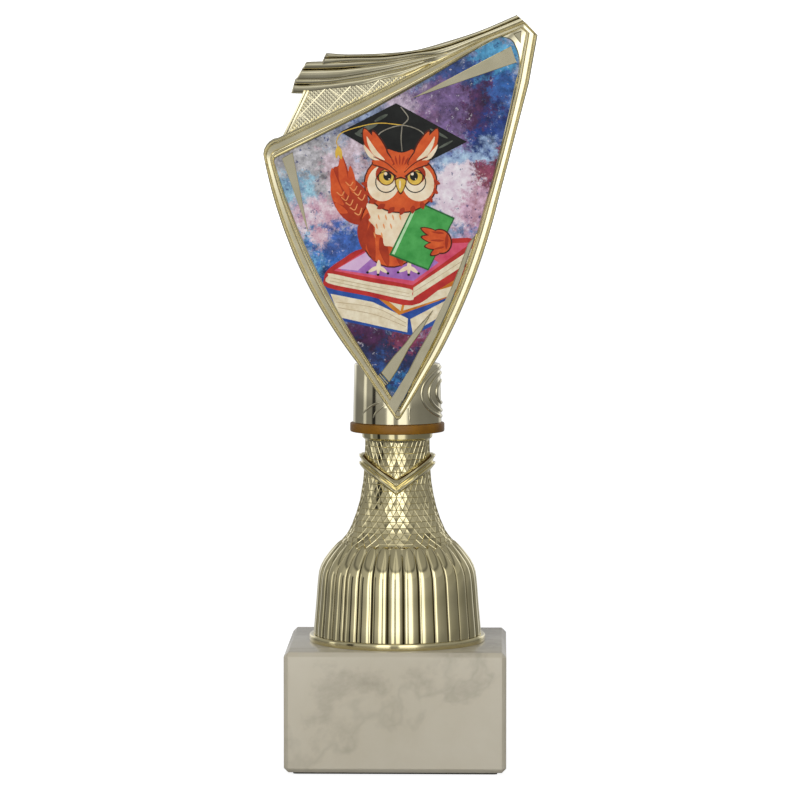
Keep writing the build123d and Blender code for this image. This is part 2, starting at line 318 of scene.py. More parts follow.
def watercolour_ground():
    """The print's background: ragged watercolour clouds, with lighter and darker blooms in them."""
    material, tree, shader, place = new_material("print_watercolour_ground")
    flow = add_node(tree, "TexNoise", {"Vector": place, "Scale": 75.0, "Detail": 9.0,
                                       "Roughness": 0.78})
    sway = 0.044
    bent = add_node(tree, "VectorMath", {0: flow.outputs["Color"], 1: (sway,) * 3, 2: place},
                    operation="MULTIPLY_ADD")
    shift = sway / 2
    paint = add_node(tree, "ValToRGB", {"Fac": flow.outputs["Fac"]},
                     stops=[(0.35, linear("#5a6ea0")), (0.6, linear("#a9b6cc"))]).outputs["Color"]
    for x, z, reach, code, strength in CLOUDS:
        y = parting(z) - ART_W
        spot = (x * MM + shift, y * MM + shift, z * MM + shift)
        away = add_node(tree, "VectorMath", {0: bent.outputs["Vector"], 1: spot}, operation="DISTANCE")
        cover = add_node(tree, "MapRange", {"Value": away.outputs["Value"], "From Min": reach * MM,
                                            "From Max": 0.7 * reach * MM, "To Max": strength})
        paint = add_node(tree, "Mix", {"Factor": cover.outputs["Result"], "A": paint,
                                       "B": linear(code)}, data_type="RGBA").outputs["Result"]
    bloom = add_node(tree, "TexNoise", {"Vector": place, "Scale": 330.0, "Detail": 6.0,
                                        "Roughness": 0.75})
    shade = add_node(tree, "ValToRGB", {"Fac": bloom.outputs["Fac"]},
                     stops=[(0.32, grey(0.12)), (0.5, grey(0.46)), (0.68, grey(0.85))])
    both = add_node(tree, "Mix", {"Factor": 0.9, "A": paint, "B": shade.outputs["Color"]},
                    data_type="RGBA", blend_type="OVERLAY")
    spray = add_node(tree, "TexNoise", {"Vector": place, "Scale": 620.0, "Detail": 3.0,
                                        "Roughness": 0.7})
    dark_drops = add_node(tree, "ValToRGB", {"Fac": spray.outputs["Fac"]},
                          stops=[(0.34, grey(0.75)), (0.38, grey(0.0))])
    pale_drops = add_node(tree, "ValToRGB", {"Fac": spray.outputs["Fac"]},
                          stops=[(0.64, grey(0.0)), (0.68, grey(0.5))])
    darker = add_node(tree, "Mix", {"Factor": dark_drops.outputs["Color"], "A": both.outputs["Result"],
                                    "B": linear("#1d2f6b")}, data_type="RGBA")
    speckled = add_node(tree, "Mix", {"Factor": pale_drops.outputs["Color"],
                                      "A": darker.outputs["Result"], "B": linear("#e3dde6")},
                        data_type="RGBA")
    print_surface(tree, shader, place, speckled.outputs["Result"])
    return material


# ---------------------------------------------------------------- modelling helpers

def arc(start, middle, end, steps):
    """Points on the circle through three points, from start up to but without end."""
    (ax, ay), (bx, by), (cx, cy) = start, middle, end
    d = 2 * (ax * (by - cy) + bx * (cy - ay) + cx * (ay - by))
    a2, b2, c2 = ax * ax + ay * ay, bx * bx + by * by, cx * cx + cy * cy
    ux = (a2 * (by - cy) + b2 * (cy - ay) + c2 * (ay - by)) / d
    uy = (a2 * (cx - bx) + b2 * (ax - cx) + c2 * (bx - ax)) / d
    first, last = math.atan2(ay - uy, ax - ux), math.atan2(cy - uy, cx - ux)
    turn = math.remainder(last - first, math.tau)
    radius = math.hypot(ax - ux, ay - uy)
    angles = [first + turn * i / steps for i in range(steps)]
    return [(ux + radius * math.cos(t), uy + radius * math.sin(t)) for t in angles]


def line(start, end, steps):
    """Points on a straight line, from start up to but without end."""
    return [tuple(np.array(start) + (np.array(end) - start) * i / steps) for i in range(steps)]


def path_of(start, *legs):
    """Straight legs, given as end and steps, and arcs, given as middle, end and steps."""
    points = []
    for *through, end, steps in legs:
        points += arc(start, *through, end, steps) if through else line(start, end, steps)
        start = end
    return points


def smooth_line(points, steps):
    """A smooth curve through all the points, with this many steps between each two."""
    p = [np.array(q, float) for q in points]
    p = [2 * p[0] - p[1]] + p + [2 * p[-1] - p[-2]]
    curve = []
    for a, b, c, d in zip(p, p[1:], p[2:], p[3:]):
        for i in range(steps):
            t = i / steps
            curve.append(0.5 * (2 * b + (c - a) * t + (2 * a - 5 * b + 4 * c - d) * t * t
                                + (3 * b - a - 3 * c + d) * t ** 3))
    return [tuple(q) for q in curve + [p[-2]]]


def spaced(points, count):
    """The same open curve with its points at even distances."""
    p = np.array(points, float)
    run = np.concatenate([[0], np.cumsum(np.linalg.norm(np.diff(p, axis=0), axis=1))])
    at = np.linspace(0, run[-1], count)
    return [tuple(q) for q in np.column_stack([np.interp(at, run, p[:, k]) for k in range(p.shape[1])])]


def draw(bm, points, closed=False):
    """Vertices joined by edges, in the points' order."""
    verts = [bm.verts.new(p) for p in points]
    pairs = zip(verts, verts[1:] + verts[:1] if closed else verts[1:])
    return verts, [bm.edges.new(pair) for pair in pairs]


def skin(bm, rows):
    """Pulls a line of edges from row to row of points, which leaves a skin behind it."""
    verts, edges = draw(bm, rows[0])
    for row in rows[1:]:
        pulled = set(bmesh.ops.extrude_edge_only(bm, edges=edges)["geom"])
        ends = [next(e.other_vert(v) for e in v.link_edges if e.other_vert(v) in pulled) for v in verts]
        for vert, point in zip(ends, row):
            vert.co = point
        verts, edges = ends, [bm.edges.get(pair) for pair in zip(ends, ends[1:])]


def lathe(bm, outline, steps=128):
    """A turned shape from its outline in radius and height."""
    verts, edges = draw(bm, [(r, 0, z) for r, z in outline])
    bmesh.ops.spin(bm, geom=verts + edges, cent=(0, 0, 0), axis=(0, 0, 1), angle=math.tau,
                   steps=steps, use_merge=True)


def merge(bm, gap=0.002):
    """Joins points that touch and clears slivers; the gap is in millimetres."""
    bmesh.ops.remove_doubles(bm, verts=bm.verts, dist=gap)
    bmesh.ops.dissolve_degenerate(bm, edges=bm.edges, dist=gap / 2)


def plate(bm, outline, top, bottom, edge=0.0, segments=2):
    """A flat plate drawn in x and z that stands from bottom to top off the figure's front."""
    edges = draw(bm, [(x, z, top) for x, z in outline], closed=True)[1]
    face = bmesh.ops.contextual_create(bm, geom=edges)["faces"][0]
    solid = bmesh.ops.extrude_face_region(bm, geom=[face])["geom"]
    low = [v for v in solid if isinstance(v, bmesh.types.BMVert)]
    for vert in low:
        vert.co.z = bottom
    if edge:
        bmesh.ops.bevel(bm, geom=edges, offset=edge, segments=segments, profile=0.5, material=-1,
                        affect="EDGES")


def lay_on(bm, side):
    """Lays what was drawn as x, z and height onto the figure's leaning front, or its back."""
    start = FACE_Y_LOW - FACE_Z_LOW * FACE_LEAN
    lay = Matrix(((1, 0, 0, 0), (0, FACE_LEAN, -1, start), (0, 1, 0, 0), (0, 0, 0, 1)))
    bmesh.ops.transform(bm, matrix=lay, verts=bm.verts)
    if side == "back":
        bmesh.ops.scale(bm, vec=(1, -1, 1), verts=bm.verts)


def parting(z):
    """The height off the front, negative, of the plane where the two halves meet."""
    return FACE_Y_LOW + (z - FACE_Z_LOW) * FACE_LEAN


def make_piece(name, bm, material, nodes=(), sharp=32):
    """Turns a finished drawing in millimetres into a piece that rides on the trophy."""
    merge(bm)
    bmesh.ops.recalc_face_normals(bm, faces=bm.faces)
    bmesh.ops.scale(bm, vec=(MM, MM, MM), verts=bm.verts)
    mesh = bpy.data.meshes.new(name)
    bm.to_mesh(mesh)
    bm.free()
    mesh.materials.append(material)
    mesh.shade_smooth()
    mesh.set_sharp_from_angle(angle=math.radians(sharp))
    piece = bpy.data.objects.new(name, mesh)
    scene.collection.objects.link(piece)
    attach(piece, "root")
    if nodes:
        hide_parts(*nodes)
    return piece


# ---------------------------------------------------------------- base

def cuboid(low, high):
    """A box drawn between two corners."""
    bm = bmesh.new()
    bmesh.ops.create_cube(bm, size=1)
    bmesh.ops.scale(bm, vec=high - low, verts=bm.verts)
    bmesh.ops.translate(bm, vec=(high + low) / 2, verts=bm.verts)
    return bm


def marble_block(material):
    """The block: every edge chamfered, and every arris of that just broken."""
    bm = cuboid(BLOCK_LOW, BLOCK_HIGH)
    bmesh.ops.bevel(bm, geom=bm.edges[:], offset=BLOCK_CHAMFER, offset_type="WIDTH", segments=1,
                    profile=0.5, material=-1, affect="EDGES")
    bmesh.ops.bevel(bm, geom=bm.edges[:], offset=BLOCK_ARRIS, segments=2, profile=0.5, material=-1,
                    affect="EDGES")
    make_piece("marble_block", bm, material, ["marble_base"])


def felt(material):
    """The felt under the block, with rounded corners."""
    bm = cuboid(FELT_LOW, FELT_HIGH)
    upright = [e for e in bm.edges if abs((e.verts[0].co - e.verts[1].co).z) > 0.1]
    bmesh.ops.bevel(bm, geom=upright, offset=FELT_CORNER, segments=4, profile=0.5, material=-1,
                    affect="EDGES")
    make_piece("felt_underlay", bm, material, ["felt_sheet"])


# ---------------------------------------------------------------- column

def crest_radius(z):
    """The radius of the reeds' crests at a height."""
    curve = smooth_line(CREST, 5)
    return float(np.interp(z, [q[0] for q in curve], [q[1] for q in curve]))


def polar(r, degrees, z):
    """A point round the axis: 0 degrees is the front, 90 the right."""
    return (r * math.sin(math.radians(degrees)), -r * math.cos(math.radians(degrees)), z)


def reeded_bell(material):
    """The bell: a plain rim, and reeds whose tops are rounded like fingertips."""
    bm = bmesh.new()
    low, top = COLUMN_LOW.z, RIM_TOP
    half = 180 / REEDS
    tips = [REED_TOP - REED_TIP * (1 - math.cos(math.radians(9 * i))) for i in range(11)]
    heights = list(np.linspace(top, REED_TOP - REED_TIP, 14))[:-1] + tips[::-1]
    across = 10
    rows = []
    for z in heights:
        left = max(0.0, min(1.0, (REED_TOP - z) / REED_TIP))
        width = (1 - GROOVE_SHARE) * math.sqrt(1 - (1 - left) ** 2)
        base = crest_radius(z) - REED_RISE
        floor = base - GROOVE_DEPTH * left
        row = [polar(floor, -half, z)]
        for i in range(across + 1):
            t = 2 * i / across - 1
            rise = (REED_RISE + 0.05) * math.sqrt(1 - (0.93 * t) ** 2) - 0.25
            crown = base + max(0.0, rise) * min(1.0, 3 * width)
            row.append(polar(crown, width * half * t, z))
        row.append(polar(floor, half, z))
        rows.append(row)
    skin(bm, rows)
    bmesh.ops.spin(bm, geom=bm.verts[:] + bm.edges[:] + bm.faces[:], cent=(0, 0, 0), axis=(0, 0, 1),
                   angle=math.tau, steps=REEDS, use_duplicate=True)
    merge(bm, 0.01)
    bmesh.ops.holes_fill(bm, edges=[e for e in bm.edges if e.is_boundary], sides=0)
    lathe(bm, [(0, low), (RIM_R - 0.15, low), (RIM_R, low + 0.15), (RIM_R, top - 0.45),
               (RIM_R - 0.12, top - 0.15), (RIM_R - 0.45, top), (RIM_R - 1.1, top - 0.05),
               (RIM_R - 1.6, top - 0.1), (0, top - 0.1)], 160)
    make_piece("reeded_bell", bm, material, nodes=["column"], sharp=50)


def faceted_neck(material):
    """The neck: rows of sunk three-sided facets between thin ribs, shifted half a facet each row."""
    bm = bmesh.new()
    curve = smooth_line(CREST, 5)
    stretch = [(r, z) for z, r in curve if FACET_LOW <= z <= FACET_TOP]
    rings = spaced(stretch, FACET_ROWS + 1)
    drop = [0.8 * max(0.0, 1 - (z - FACET_LOW) / 7) for _, z in rings]
    rings = [(r - d, z) for (r, z), d in zip(rings, drop)]
    lathe(bm, rings, FACETS)
    for i, (_, z) in enumerate(rings):
        if i % 2:
            ring = [v for v in bm.verts if abs(v.co.z - z) < 0.01]
            bmesh.ops.rotate(bm, verts=ring, cent=(0, 0, 0),
                             matrix=Matrix.Rotation(math.pi / FACETS, 3, "Z"))
    chance = random.Random(11)
    for vert in bm.verts:
        vert.co.xy *= 1 + chance.uniform(-1, 1) * FACET_UNEVEN / vert.co.xy.length
    bmesh.ops.triangulate(bm, faces=bm.faces[:], quad_method="SHORT_EDGE")
    bmesh.ops.recalc_face_normals(bm, faces=bm.faces)
    outward = sum(f.normal.dot(f.calc_center_median() * Vector((1, 1, 0))) for f in bm.faces)
    if outward < 0:
        bmesh.ops.reverse_faces(bm, faces=bm.faces)
    facets = bm.faces[:]
    bmesh.ops.inset_individual(bm, faces=facets, thickness=FACET_RIB, depth=-FACET_SINK,
                               use_even_offset=True)
    bmesh.ops.poke(bm, faces=facets, offset=-FACET_DENT)
    top = COLUMN_HIGH.z
    r = rings[-1][0]
    bmesh.ops.holes_fill(bm, edges=[e for e in bm.edges if e.is_boundary], sides=0)
    lathe(bm, [(0, FACET_TOP - 1.2), (r - 0.3, FACET_TOP - 1.2), (r - 0.1, FACET_TOP - 0.4),
               (r + 0.1, FACET_TOP), (LIP_R - 0.25, FACET_TOP + 0.35), (LIP_R, FACET_TOP + 0.6),
               (LIP_R + 0.1, top - 0.3), (LIP_R, top), (0, top)], 96)
    make_piece("faceted_neck", bm, material, sharp=15)


def v_ring(material):
    """A double ridge round the neck that dips to a point at the front and at the back."""
    bm = bmesh.new()
    section = [(8.6, 80.0), (10.2, 80.05), (10.8, 80.35), (11.25, 80.6), (11.4, 80.95), (11.25, 81.35),
               (10.75, 81.8), (10.6, 82.15), (10.8, 82.5), (11.25, 82.85), (11.4, 83.2), (11.25, 83.6),
               (10.8, 84.1), (10.4, 84.6), (9.9, 85.0), (8.6, 85.1), (8.6, 80.0)]
    lathe(bm, section, 96)
    merge(bm)
    for vert in bm.verts:
        vert.co.z += V_SLOPE * abs(vert.co.x)
    make_piece("v_ring", bm, material, sharp=40)


def brown_disc(material):
    """The spacer between column and figure, with softly rounded edges."""
    bm = bmesh.new()
    r, low, top = DISC_HIGH.x, DISC_LOW.z, DISC_HIGH.z
    lathe(bm, [(0, low), (r - 0.35, low), (r - 0.1, low + 0.1), (r, low + 0.35), (r, top - 0.35),
               (r - 0.1, top - 0.1), (r - 0.35, top), (0, top)], 128)
    make_piece("brown_disc", bm, material, ["spacer_disc"])


# ---------------------------------------------------------------- figure: frame

def frame_outer():
    """The frame's outer edge, from the left corner down, round the tip and back along the top."""
    return path_of((-39.3, 180.8), ((-29.1, 148.6), (-11.75, 119.8), 24), ((-0.6, 103.6), 6),
                   ((0.3, 102.8), (1.3, 103.3), 3), ((12.7, 122.0), 6),
                   ((22.4, 143.0), (29.9, 167.0), 14), ((38.9, 201.7), 12), ((41.4, 215.7), 6),
                   ((37.7, 219.5), 4), ((27.0, 215.2), 6), ((-34.7, 185.7), 20),
                   ((-38.2, 183.8), (-39.3, 180.8), 5))


def frame_inner():
    """The foot of the frame's inner slope, point for point with the outer edge."""
    return path_of((-35.7, 177.6), ((-25.0, 150.0), (-10.5, 124.1), 24), ((0.6, 106.8), 6),
                   ((0.9, 106.4), (1.2, 106.8), 3), ((8.3, 120.9), 6),
                   ((17.8, 141.3), (25.6, 165.0), 14), ((31.7, 187.9), (34.9, 202.5), 12),
                   ((37.3, 216.6), 6), ((36.4, 217.3), 4), ((27.0, 213.6), 6), ((10.0, 203.3), 6),
                   ((-8.1, 193.1), 6), ((-35.0, 179.9), 8), ((-35.9, 179.0), (-35.7, 177.6), 5))


def art_edge():
    """The print's edge: as the frame's inner edge, but rounded in the upper right corner."""
    inner = frame_inner()
    end = (28.6, 214.3)
    corner = path_of((34.9, 202.5), ((35.9, 207.6), (34.6, 212.6), 6),
                     ((33.8, 213.9), (32.6, 214.6), 4), ((30.8, 214.9), end, 6)) + [end]
    before = 24 + 6 + 3 + 6 + 14 + 12       # the steps of the inner edge up to that corner
    return inner[:before] + corner + inner[before + len(corner):]


# Across the frame from its outer edge: share of its width, height off the front
FRAME_SECTION = [
    (0.0, -0.7), (0.02, -0.25), (0.05, -0.05), (0.08, 0.0), (0.11, -0.08), (0.135, -0.3), (0.15, -0.3),
    (0.175, -0.1), (0.205, -0.02), (0.235, -0.12), (0.26, -0.45), (0.275, -0.58), (0.3, -0.58),
    (0.315, -0.42), (0.57, -0.38), (0.585, -0.56), (0.61, -0.56), (0.64, -0.28), (0.67, -0.05),
    (0.70, -0.02), (0.73, -0.1), (0.75, -0.28), (0.765, -0.28), (0.785, -0.15), (0.81, -0.1),
    (0.83, -0.2), (0.85, -0.45),
]


def frame_band(material, side):
    """One half of the frame: two ridges with a flat between them, and a slope down to the print."""
    bm = bmesh.new()
    rows = []
    for o, a, e in zip(frame_outer(), frame_inner(), art_edge()):
        o, a, e = Vector(o), Vector(a), Vector(e)
        inward = (a - o).normalized()
        seam = o + inward * SEAM
        row = [(seam.x, seam.y, parting(seam.y)), (o.x, o.y, parting(o.y) + SEAM)]
        for share, w in FRAME_SECTION:
            q = o.lerp(a, share)
            row.append((q.x, q.y, w))
        foot = a + (o - a).normalized() * 0.6
        lip = e + (o - e).normalized() * 0.35
        row += [(foot.x, foot.y, -0.9), (lip.x, lip.y, -0.74), (e.x, e.y, -1.06)]
        row += [(e.x, e.y, parting(e.y)), row[0]]
        rows.append(row)
    skin(bm, rows + rows[:1])
    lay_on(bm, side)
    make_piece("frame_" + side, bm, material, nodes=["figure_" + side], sharp=38)


# Across a ribbon from its upper edge, in the same way, with a deep crease in the middle
RIBBON_SECTION = [
    (0.0, -1.5), (0.04, -0.55), (0.10, -0.12), (0.18, 0.0), (0.28, -0.05), (0.36, -0.3), (0.40, -0.7),
    (0.43, -1.9), (0.46, -0.6), (0.49, -0.2), (0.54, -0.05), (0.62, 0.0), (0.82, -0.06), (0.89, -0.2),
    (0.93, -0.6), (0.96, -0.6), (1.0, -0.95),
]


def draped_ribbon(name, material, upper, lower, base, side, bare=0.0, stations=44):
    """One cloth-like ribbon between two edges: a bevelled end, a long fold along its middle, and a
    skirt under its foot, except for the bare share of its length."""
    bm = bmesh.new()
    tops = spaced(smooth_line(upper, 8), stations)
    feet = spaced(smooth_line(lower, 8), stations)
    pairs = [(Vector(t), Vector(f)) for t, f in zip(tops, feet)]
    (t, f), (t_next, f_next) = pairs[:2]
    pairs.insert(1, (t.lerp(t_next, 0.55), f.lerp(f_next, 0.55)))
    rows = []
    for i, (t, f) in enumerate(pairs):
        row = [(t.x, t.y, parting(t.y))]
        sunk = base + (1.1 if i == 0 else 0.0)
        for share, w in RIBBON_SECTION:
            q = t.lerp(f, share)
            row.append((q.x, q.y, w - sunk))
        reach = 1.6 * min(1.0, max(0.1, (i / stations - bare) / 0.15))
        skirt = f + (f - t).normalized() * reach
        row += [(skirt.x, skirt.y, -1.4 - base), (skirt.x, skirt.y, parting(skirt.y)), row[0]]
        rows.append(row)
    skin(bm, rows)
    merge(bm)
    bmesh.ops.holes_fill(bm, edges=[e for e in bm.edges if e.is_boundary], sides=0)
    lay_on(bm, side)
    make_piece(name + side, bm, material, sharp=42)


RIBBON_TOP = [(-20.8, 210.5), (-14.4, 210.1), (-3.7, 210.4), (5.2, 211.3), (13.5, 213.5), (24.4, 217.0),
              (35.2, 221.6)]
RIBBON_TOP_FOOT = [(-22.5, 206.9), (-14.4, 207.8), (-3.7, 207.95), (5.2, 209.4), (13.5, 210.0),
                   (24.4, 214.3), (37.5, 219.6)]
RIBBON_MIDDLE = [(-26.7, 207.9), (-14.4, 208.3), (-3.7, 208.7), (5.2, 209.9), (15.5, 211.2)]
RIBBON_MIDDLE_FOOT = [(-30.0, 202.4), (-19.7, 202.5), (-14.4, 203.2), (-3.7, 205.2), (5.2, 207.3),
                      (14.5, 209.75)]
RIBBON_LOW = [(-30.0, 203.0), (-19.7, 203.1), (-14.4, 203.9), (-3.7, 205.9), (5.2, 207.8), (14.8, 210.1)]
RIBBON_LOW_FOOT = [(-31.2, 198.7), (-26.5, 198.7), (-18.7, 199.6), (-10.2, 200.6), (-3.7, 202.4),
                   (2.4, 203.9), (13.3, 209.2)]


PANEL = [Vector((-33.6, 186.0)), Vector((3.4, 203.9)), Vector((-26.6, 200.4))]
PANEL_W = -1.9


def knurled_panel(material, side):
    """The sunk triangle between ribbons and frame, covered in fine pyramids."""
    bm = bmesh.new()
    pitch = 0.9
    middle = sum(PANEL, Vector((0, 0))) / 3
    count = 48
    bmesh.ops.create_grid(bm, x_segments=count, y_segments=count, size=pitch * count / 2)
    bmesh.ops.poke(bm, faces=bm.faces[:], offset=0.16)
    bmesh.ops.rotate(bm, verts=bm.verts, cent=(0, 0, 0), matrix=Matrix.Rotation(math.pi / 4, 3, "Z"))
    bmesh.ops.translate(bm, vec=(middle.x, middle.y, PANEL_W), verts=bm.verts)
    for a, b in zip(PANEL, PANEL[1:] + PANEL[:1]):
        out = Vector(((b - a).y, -(b - a).x, 0)).normalized()
        bmesh.ops.bisect_plane(bm, geom=bm.verts[:] + bm.edges[:] + bm.faces[:], dist=0.0001,
                               plane_co=(a.x, a.y, 0), plane_no=out, clear_outer=True)
    rim = [e for e in bm.edges if e.is_boundary]
    wall = bmesh.ops.extrude_edge_only(bm, edges=rim)["geom"]
    for vert in (v for v in wall if isinstance(v, bmesh.types.BMVert)):
        vert.co.z = parting(vert.co.y)
    bmesh.ops.holes_fill(bm, edges=[e for e in bm.edges if e.is_boundary], sides=0)
    lay_on(bm, side)
    make_piece("knurled_panel_" + side, bm, material, sharp=15)


def across_panel(start, run):
    """The two points where a line through a point cuts the panel's edges, if they are apart."""
    cuts = []
    for a, b in zip(PANEL, PANEL[1:] + PANEL[:1]):
        edge = b - a
        along = (start - a).cross(run) / edge.cross(run)
        if 0 <= along <= 1:
            cuts.append(a + edge * along)
    return cuts if len(cuts) == 2 and (cuts[0] - cuts[1]).length > 1.0 else None


def panel_bars(material, side):
    """Thin raised bars that part the knurling into diamonds, and the double ridge at its left edge."""
    bm = bmesh.new()
    for turn, gap in ((47, 4.9), (-38, 5.6)):
        run = Vector((math.cos(math.radians(turn)), math.sin(math.radians(turn))))
        across = Vector((run.y, -run.x))
        w = across * 0.17
        for i in range(-4, 5):
            ends = across_panel(Vector((-20.5, 193.4)) + across * gap * i, run)
            if ends:
                a, b = ends
                plate(bm, [a - w, a + w, b + w, b - w], PANEL_W + 0.18, PANEL_W - 0.3, 0.1)
    for shift in (0.0, 0.95):
        a, b = Vector((-33.2 + shift, 186.1 + 0.2 * shift)), Vector((-27.1 + shift, 199.2))
        w = Vector((b - a).normalized().orthogonal()) * 0.33
        plate(bm, [a - w, a + w, b + w, b - w], -0.55 - 0.3 * shift, -3.0, 0.25)
    for vert in bm.verts:
        if vert.co.z < -2.5:
            vert.co.z = parting(vert.co.y)
    lay_on(bm, side)
    make_piece("panel_bars_" + side, bm, material, sharp=40)


# ---------------------------------------------------------------- figure: blades and rays

LOWER_BLADE = [(-2.6, 107.4), (-0.3, 104.3), (1.9, 108.5), (6.1, 116.7), (9.3, 122.9), (12.4, 129.1),
               (15.1, 134.9), (17.6, 141.1), (20.0, 147.5), (23.5, 157.5), (21.0, 154.5), (18.4, 147.3),
               (15.9, 141.1), (12.8, 134.9), (10.1, 129.1), (6.5, 122.9), (3.3, 116.7), (-0.6, 110.4)]
UPPER_BLADE = [(-4.5, 116.7), (-1.0, 121.3), (2.5, 125.2), (5.4, 129.1), (10.9, 135.2), (7.4, 128.9),
               (3.7, 123.8), (0.4, 117.6), (-2.05, 113.8)]
RAY_UPPER = [(4.0, 196.9), (33.5, 212.4), (35.2, 207.6)]
RAY_LEFT = [(-33.8, 179.5), (-30.6, 181.3), (-25.8, 157.3)]
CORNER_LEAF = [(34.2, 216.0), (36.6, 217.0), (36.4, 213.2)]
BLADE_TILT = -0.012


def blades(material, side):
    """The two blades at the tip with the small steps between them and the frame, and the rays."""
    bm = bmesh.new()
    plate(bm, LOWER_BLADE, 0.12, BLADE_FOOT, 0.28, 1)
    for vert in bm.verts:
        vert.co.z += BLADE_TILT * (vert.co.y - LOWER_BLADE[1][1])
    plate(bm, UPPER_BLADE, -0.5, BLADE_FOOT, 0.2, 1)
    start, end = Vector(UPPER_BLADE[0]), Vector(UPPER_BLADE[-1])
    down = Vector((-0.76, -0.65))
    for gap in (0.3, 0.95):
        a, b = start + down * gap, end + down * gap
        plate(bm, [a, b, b + down * 0.4, a + down * 0.4], -0.45, BLADE_FOOT, 0.12, 1)
    plate(bm, RAY_UPPER, -0.88, BLADE_FOOT, 0.12, 1)
    plate(bm, RAY_LEFT, -0.88, BLADE_FOOT, 0.12, 1)
    plate(bm, CORNER_LEAF, -0.45, BLADE_FOOT, 0.2, 1)
    lay_on(bm, side)
    make_piece("blades_" + side, bm, material, sharp=15)


def field(name, material, nodes, side):
    """The flat sheet inside the frame: the print in front, plain plating at the back."""
    bm = bmesh.new()
    plate(bm, art_edge(), ART_W, ART_W - 1.0)
    lay_on(bm, side)
    make_piece(name, bm, material, nodes)


# ---------------------------------------------------------------- figure: the printed picture

def oval(x, z, wide, high, turn=0.0, steps=28):
    """An ellipse's outline from its half width and half height."""
    c, d = math.cos(math.radians(turn)), math.sin(math.radians(turn))
    ring = [(wide * math.cos(math.tau * i / steps), high * math.sin(math.tau * i / steps))
            for i in range(steps)]
    return [(x + u * c - v * d, z + u * d + v * c) for u, v in ring]


def blob(points, steps=5):
    """A closed, rounded outline through the points."""
    n = len(points)
    loop = [points[i % n] for i in range(-2, n + 3)]
    curve = smooth_line(loop, steps)
    return curve[2 * steps:(n + 2) * steps]


def feather(root, tip, width, bend=0.0):
    """A pointed leaf from root to tip, bowed to one side."""
    a, b = Vector(root), Vector(tip)
    side = (b - a).orthogonal().normalized() * width / 2
    sway = (b - a).orthogonal() * bend
    low, high = a.lerp(b, 0.35) + sway, a.lerp(b, 0.75) + sway * 0.7
    return blob([a + side * 0.3, low + side, high + side * 0.7, b, high - side * 0.7, low - side,
                 a - side * 0.3], 3)


def stroke(points, width):
    """A thin painted line of even width."""
    curve = [Vector(q) for q in smooth_line(points, 5)]
    left, right = [], []
    for i, q in enumerate(curve):
        run = (curve[min(i + 1, len(curve) - 1)] - curve[max(i - 1, 0)]).normalized()
        side = Vector((-run.y, run.x)) * width / 2
        left.append(q + side)
        right.append(q - side)
    return left + right[::-1]


def hoop(x, z, radius, width):
    """The two halves of a thin ring."""
    halves = []
    for start in (0, math.pi):
        turns = [start + math.pi * i / 14 for i in range(15)]
        outer, inner = [[(x + r * math.cos(t), z + r * math.sin(t)) for t in turns]
                        for r in (radius, radius - width)]
        halves.append(outer + inner[::-1])
    return halves


def printed(name, level, material, *outlines):
    """Flat printed shapes of one ink, a hair above those of the level below."""
    bm = bmesh.new()
    for i, outline in enumerate(outlines):
        plate(bm, outline, ART_W + PRINT_STEP * level + 0.0004 * i, ART_W - 0.1)
    lay_on(bm, "front")
    make_piece("print_" + name, bm, material)


